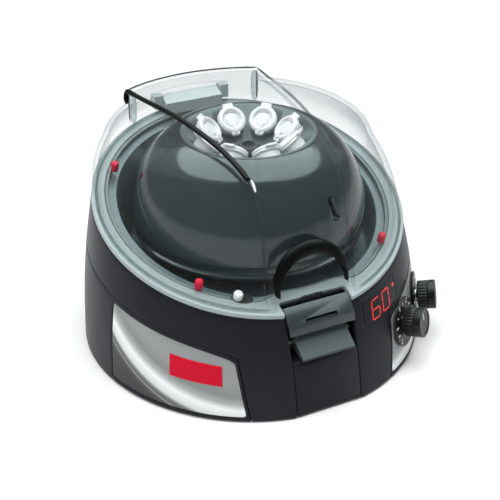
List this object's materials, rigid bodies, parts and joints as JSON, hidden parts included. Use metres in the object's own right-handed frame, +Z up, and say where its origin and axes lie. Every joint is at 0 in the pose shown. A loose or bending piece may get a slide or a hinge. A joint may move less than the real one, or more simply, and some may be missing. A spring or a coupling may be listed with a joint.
{
  "type": "mini centrifuge",
  "caption": "Personal mini centrifuge with a clear hinged lid, latch, angle rotor with microtubes, dial knobs and a display on a round housing.",
  "frame": {"origin": "on the table under the middle of the whole part's bounding box", "axes": "+Z up along the rotor's axis, -Y out of the front with the latch, +X towards the side with the knobs"},
  "size_m": [0.1578, 0.1564, 0.1053],
  "materials": {
    "charcoal_plastic": "dark charcoal moulded shell, semi-gloss",
    "rim_grey_plastic": "light grey moulded rim",
    "slate_plastic": "slate grey moulded chamber and rotor, satin gloss",
    "black_plastic": "black moulded plastic",
    "brushed_silver": "brushed silver plate",
    "red_badge": "red gloss",
    "red_rubber": "red rubber bumper",
    "white_plastic": "white polypropylene",
    "clear_lid": "clear moulded lid",
    "smoked_window": "smoked display window",
    "black_rubber": "black rubber",
    "steel": "bare steel",
    "circuit_board": "green circuit board"
  },
  "bodies": {
    "housing": {"lower_housing": "charcoal_plastic", "upper_housing": "charcoal_plastic", "label_plate": "brushed_silver", "control_plate": "brushed_silver", "badge": "red_badge", "display_window": "smoked_window", "led_module": "black_plastic", "display_board": "circuit_board", "speed_dial": "black_plastic", "speed_potentiometer": "steel", "timer_dial": "black_plastic", "timer_potentiometer": "steel", "rim_ring": "rim_grey_plastic", "chamber_bowl": "slate_plastic", "interlock_switch": "black_plastic", "bumper_1": "red_rubber", "bumper_2": "red_rubber", "bumper_3": "red_rubber", "bumper_4": "red_rubber", "shaft_seal": "black_rubber", "bottom_cover": "black_plastic", "foot_1": "black_rubber", "foot_2": "black_rubber", "foot_3": "black_rubber", "foot_4": "black_rubber", "motor_post_1": "black_rubber", "motor_post_2": "black_rubber", "motor_post_3": "black_rubber", "motor_plate": "steel", "motor": "steel", "control_board": "circuit_board", "power_supply": "black_plastic", "front_insert": "charcoal_plastic", "latch_frame": "slate_plastic", "latch_pin": "steel", "power_inlet": "black_plastic", "switch_frame": "black_plastic", "hinge_block": "rim_grey_plastic", "hinge_pin": "steel"},
    "lid": {"lid_shell": "clear_lid", "lid_grip": "black_plastic", "lid_hinge_left": "rim_grey_plastic", "lid_hinge_right": "rim_grey_plastic", "lid_strike": "steel"},
    "rotor": {"drive_shaft": "steel", "rotor": "slate_plastic", "rotor_nut": "black_plastic", "microtube_1": "white_plastic", "microtube_2": "white_plastic", "microtube_3": "white_plastic", "microtube_4": "white_plastic", "microtube_5": "white_plastic", "microtube_6": "white_plastic", "microtube_7": "white_plastic", "microtube_8": "white_plastic"},
    "latch": {"latch": "black_plastic"},
    "plunger": {"interlock_plunger": "white_plastic"},
    "speed_knob": {"speed_knob": "black_plastic"},
    "timer_knob": {"timer_knob": "black_plastic"},
    "power_rocker": {"power_rocker": "red_badge"}
  },
  "joints": [
    {"name": "lid_hinge", "type": "hinge", "parent": "housing", "child": "lid", "pos_m": [0, 0.068, 0.0893], "axis": [-1, 0, 0], "range_deg": [0, 95]},
    {"name": "rotor_spin", "type": "hinge", "parent": "housing", "child": "rotor", "pos_m": [0, 0.0012, 0], "axis": [0, 0, 1], "continuous": true},
    {"name": "latch_pivot", "type": "hinge", "parent": "housing", "child": "latch", "pos_m": [0, -0.0651, 0.0305], "axis": [1, 0, 0], "range_deg": [0, 10], "stiffness_Nm_per_rad": 0.05},
    {"name": "plunger_slide", "type": "slide", "parent": "housing", "child": "plunger", "axis": [0, -0.2924, 0.9563], "range_m": [-0.0025, 0], "stiffness_N_per_m": 150},
    {"name": "speed_knob_turn", "type": "hinge", "parent": "housing", "child": "speed_knob", "pos_m": [0.04726, -0.06012, 0.02], "axis": [0.5983, -0.7714, 0.2167], "range_deg": [-135, 135]},
    {"name": "timer_knob_turn", "type": "hinge", "parent": "housing", "child": "timer_knob", "pos_m": [0.06336, -0.04398, 0.02], "axis": [0.8081, -0.5659, 0.1635], "range_deg": [-135, 135]},
    {"name": "power_rocker_tilt", "type": "hinge", "parent": "housing", "child": "power_rocker", "pos_m": [-0.03519, 0.06496, 0.0226], "axis": [-0.8829, -0.4695, 0], "range_deg": [-9, 9]}
  ]
}
